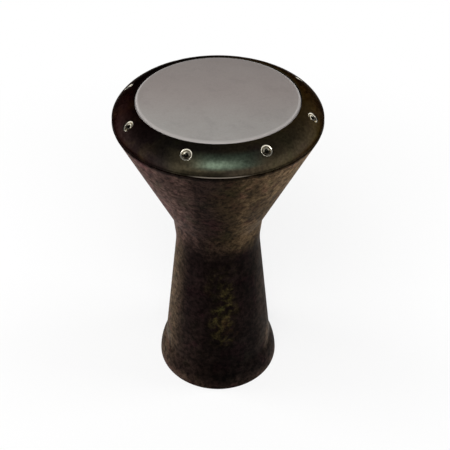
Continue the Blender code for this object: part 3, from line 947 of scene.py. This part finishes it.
def make_film():
    centre = (HEAD_RADIUS - COLLAR_RADIUS, HEIGHT - COLLAR_RADIUS)
    inner = COLLAR_RADIUS - FILM_THICKNESS
    foot = HEAD_LOW.z
    outline = [(0, HEIGHT), (centre[0] / 2, HEIGHT), (centre[0] - COLLAR_RADIUS, HEIGHT)]
    outline += arc(centre, COLLAR_RADIUS, 90, 0, BEND_STEPS)
    outline.append((HEAD_RADIUS, foot))
    outline.append((HEAD_RADIUS - FILM_THICKNESS, foot))
    outline += arc(centre, inner, 0, 90, BEND_STEPS)
    outline.append((0, HEIGHT - FILM_THICKNESS))
    film = lathe("film_head", outline, TURN_STEPS, closed=False)
    soften(film)
    return film


def make_hoop():
    floor = HOOP_LOW.z + HOOP_FLOOR
    short = HOOP_HIGH.z - HOOP_INNER_SHORT
    corners = [
        (CHANNEL_OUT, HOOP_HIGH.z),
        (HOOP_OUT, HOOP_HIGH.z),
        (HOOP_OUT, HOOP_LOW.z),
        (HOOP_IN, HOOP_LOW.z),
        (HOOP_IN, short),
        (CHANNEL_IN, short),
        (CHANNEL_IN, floor),
        (CHANNEL_OUT, floor),
    ]
    hoop = lathe("channel_hoop", rounded(corners, HOOP_EDGE, HOOP_CORNER_STEPS), TURN_STEPS)
    soften(hoop)
    return hoop


def make_cup():
    """Deep-drawn cup with a dished rim and a rounded foot."""
    rim = (CUP_RADIUS, FIT + CUP_HEIGHT)
    bore = CUP_RADIUS - CUP_WALL
    mouth = (bore, rim[1] - CUP_DISH)
    inside = (bore, FIT + CUP_FLOOR)
    foot = (CUP_RADIUS, FIT)
    outline = filleted(inside, mouth, rim, CUP_EDGE, CORNER_STEPS)
    outline += filleted(mouth, rim, foot, CUP_EDGE, CORNER_STEPS)
    outline += filleted(rim, foot, (PASSAGE_RADIUS, FIT), CUP_CORNER, CORNER_STEPS)
    outline += [(PASSAGE_RADIUS, FIT), (PASSAGE_RADIUS, FIT + CUP_FLOOR)]
    outline += filleted((PASSAGE_RADIUS, inside[1]), inside, mouth, CUP_CORNER / 2, CORNER_STEPS)
    return lathe("cup", outline, SMALL_STEPS)


def make_washer():
    top = FLAT_WASHER_FOOT + FLAT_WASHER_THICKNESS
    bore = BOLT_RADIUS + FIT
    corners = [
        (bore, top),
        (FLAT_WASHER_RADIUS, top),
        (FLAT_WASHER_RADIUS, FLAT_WASHER_FOOT),
        (bore, FLAT_WASHER_FOOT),
    ]
    return lathe("washer", rounded(corners, FLAT_WASHER_EDGE, WASHER_CORNER_STEPS), SMALL_STEPS)


def thread_rows(start, end, crest, root):
    """Rows of a one-start thread between two heights, run out at both ends."""
    count = round(abs(end - start) / THREAD_PITCH * THREAD_ROWS)
    rows = []
    for i in range(count + 1):
        z = start + (end - start) * i / count
        fade = min(1.0, THREAD_RUNOUT * min(i, count - i) / THREAD_ROWS)
        row = []
        for s in range(THREAD_STEPS):
            phase = (z / THREAD_PITCH - s / THREAD_STEPS) % 1.0
            flank = min(1.0, THREAD_SLOPE * abs(phase - 0.5))
            row.append((crest + (root - crest) * flank * fade, z))
        rows.append(row)
    return rows


def level_rows(points):
    return [[point] * THREAD_STEPS for point in points]


def make_socket_cutter(top):
    """A hexagon prism with a drilled point, for the screw's socket."""
    shape = bmesh.new()
    reach = SOCKET_FLATS / 2 / math.cos(math.pi / 6)
    upper = []
    lower = []
    for k in range(6):
        angle = math.tau * k / 6
        x, y = reach * math.cos(angle), reach * math.sin(angle)
        upper.append(shape.verts.new((x, y, top + SOCKET_DEPTH)))
        lower.append(shape.verts.new((x, y, top - SOCKET_DEPTH)))
    point = shape.verts.new((0, 0, top - SOCKET_DEPTH - SOCKET_CONE))
    shape.faces.new(upper)
    for k in range(6):
        shape.faces.new((upper[k - 1], lower[k - 1], lower[k], upper[k]))
        shape.faces.new((lower[k - 1], point, lower[k]))
    bmesh.ops.recalc_face_normals(shape, faces=shape.faces)
    mesh = bpy.data.meshes.new("socket")
    shape.to_mesh(mesh)
    shape.free()
    return linked("socket", mesh)


def make_bolt():
    """Low socket-head screw with a dished face, its hexagon socket and thread."""
    top = HEAD_FOOT + BOLT_HEAD_HEIGHT
    tip = HEAD_FOOT - BOLT_LENGTH
    root = BOLT_RADIUS - THREAD_DEPTH
    corner = (BOLT_HEAD_RADIUS, top)
    head = [(0, top - BOLT_DISH), (BOLT_HEAD_RADIUS - 2 * BOLT_HEAD_EDGE, top)]
    head += filleted((0, top), corner, (BOLT_HEAD_RADIUS, HEAD_FOOT), BOLT_HEAD_EDGE, CORNER_STEPS)
    head += [(BOLT_HEAD_RADIUS, HEAD_FOOT + FIT), (BOLT_HEAD_RADIUS - FIT, HEAD_FOOT)]
    head += [(BOLT_RADIUS, HEAD_FOOT)]
    rows = level_rows(head)
    rows += thread_rows(HEAD_FOOT - PLAIN_SHANK, tip + THREAD_DEPTH, BOLT_RADIUS, root)
    rows += level_rows([(root, tip), (0, tip)])
    bolt = skin("bolt", rows, THREAD_STEPS, closed=False)
    combine(bolt, make_socket_cutter(top), "DIFFERENCE")
    return bolt


def make_bush():
    """Threaded bush with chamfered ends."""
    top = boss_top()
    low = top - INSERT_LENGTH
    bore = BOLT_RADIUS + FIT
    root = bore + THREAD_DEPTH / 2
    outside = [(INSERT_RADIUS - FIT, top), (INSERT_RADIUS, top - FIT)]
    outside += [(INSERT_RADIUS, low + FIT), (INSERT_RADIUS - FIT, low)]
    rows = level_rows(outside + [(root, low)])
    rows += thread_rows(low + FIT, top - FIT, bore, root)
    rows += level_rows([(root, top)])
    return skin("bush", rows, THREAD_STEPS, closed=True)


def dress(obj, material, body, node):
    """Gives a piece its material and says what it stands for."""
    obj.data.materials.clear()
    obj.data.materials.append(material)
    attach(obj, body)
    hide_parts(node)


def main_pieces():
    """The four turned pieces, one of each."""
    hoop = plated("hoop_look", *HOOP_FINISH)
    dress(make_shell(), shell_patina(), "shell_body", "shell")
    dress(make_ring(), ring_patina(), "ring_body", "tuning_ring")
    dress(make_film(), film_look(), "shell_body", "drumhead")
    dress(make_hoop(), hoop, "ring_body", "head_hoop")


def repeated(stem, pattern, material, body, node):
    """One mesh shared by the eight places of a fastener."""
    soften(pattern)
    mesh = pattern.data
    bpy.data.objects.remove(pattern, do_unlink=True)
    for k, place_frame in enumerate(FRAMES, 1):
        obj = linked(f"{stem}_{k}", mesh)
        obj.matrix_world = place_frame
        dress(obj, material, body.format(k), node.format(k))


def fasteners():
    """Cups, plain washers, bolts and bushes, eight of each."""
    cup = plated("cup_look", *CUP_FINISH)
    washer = plated("washer_look", *WASHER_FINISH)
    bolt = plated("bolt_look", *BOLT_FINISH, bolt_shade_and_grime)
    bush = plated("bush_look", *BUSH_FINISH)
    repeated("cup", make_cup(), cup, "ring_body", "cup_washer_{}")
    repeated("plain_washer", make_washer(), washer, "washer_{}_body", "flat_washer_{}")
    repeated("socket_bolt", make_bolt(), bolt, "bolt_{}_body", "bolt_{}")
    repeated("bush", make_bush(), bush, "shell_body", "threaded_insert_{}")


# Studio


def make_world():
    world = bpy.data.worlds.new("studio")
    world.use_nodes = True
    light = world.node_tree.nodes["Background"]
    light.inputs["Color"].default_value = (1.0, 1.0, 1.0, 1.0)
    light.inputs["Strength"].default_value = AMBIENT
    bpy.context.scene.world = world


def backdrop_material():
    """Grey paper, seen by camera, glossy and transmission rays as white with a soft shadow."""
    look = Look("backdrop", roughness=1.0, specular=0.0)
    path = look.tree.nodes.new("ShaderNodeLightPath")
    seen = look.maths("MAXIMUM", path.outputs["Is Camera Ray"], path.outputs["Is Glossy Ray"])
    seen = look.maths("MAXIMUM", seen, path.outputs["Is Transmission Ray"])
    white = look.spread(look.off_axis(), SHADOW_NEAR, SHADOW_FAR, WHITE_SHARE, 1.0)
    white = look.maths("MULTIPLY", seen, white)
    tone = look.mixed(seen, (PAPER, PAPER, PAPER), (SEEN_PAPER, SEEN_PAPER, SEEN_PAPER))
    look.feed("Base Color", look.mixed(white, tone, (0.0, 0.0, 0.0)))
    look.feed("Emission Color", (1.0, 1.0, 1.0))
    look.feed("Emission Strength", white)
    return look.material


def make_backdrop():
    """A round floor that curves up into a low wall all round."""
    cove = (FLOOR_RADIUS - COVE_RADIUS, COVE_RADIUS - FIT)
    outline = [(FLOOR_RADIUS, WALL_TOP)] + arc(cove, COVE_RADIUS, 0, -90, BEND_STEPS) + [(0, -FIT)]
    backdrop = lathe("backdrop", outline, TURN_STEPS, closed=False)
    soften(backdrop)
    backdrop.data.materials.append(backdrop_material())


def softbox(name, place_at, aim, width, height, share, glossy):
    """A square-on lamp that lights a surface facing it at its aim by the given share."""
    data = bpy.data.lights.new(name, "AREA")
    data.shape = "RECTANGLE"
    data.size = width
    data.size_y = height
    reach = Vector(aim) - Vector(place_at)
    data.energy = share * math.pi**2 * reach.length_squared
    lamp = bpy.data.objects.new(name, data)
    lamp.location = place_at
    lamp.rotation_euler = reach.to_track_quat("-Z", "Y").to_euler()
    lamp.visible_camera = False
    lamp.visible_glossy = glossy
    bpy.context.scene.collection.objects.link(lamp)


def make_camera():
    data = bpy.data.cameras.new("camera")
    data.sensor_width = SENSOR_WIDTH
    data.lens = FOCAL_PIXELS / PHOTO_SIDE * SENSOR_WIDTH
    data.shift_x = (PHOTO_SIDE / 2 - AXIS_PIXEL) / PHOTO_SIDE
    camera = bpy.data.objects.new("camera", data)
    camera.location = CAMERA_PLACE
    camera.rotation_euler = (math.radians(90 - CAMERA_PITCH_DEG), 0, 0)
    bpy.context.scene.collection.objects.link(camera)
    bpy.context.scene.camera = camera


main_pieces()
fasteners()
make_world()
make_backdrop()
for lamp in LAMPS:
    softbox(*lamp)
make_camera()
bpy.context.scene.view_settings.view_transform = "Standard"
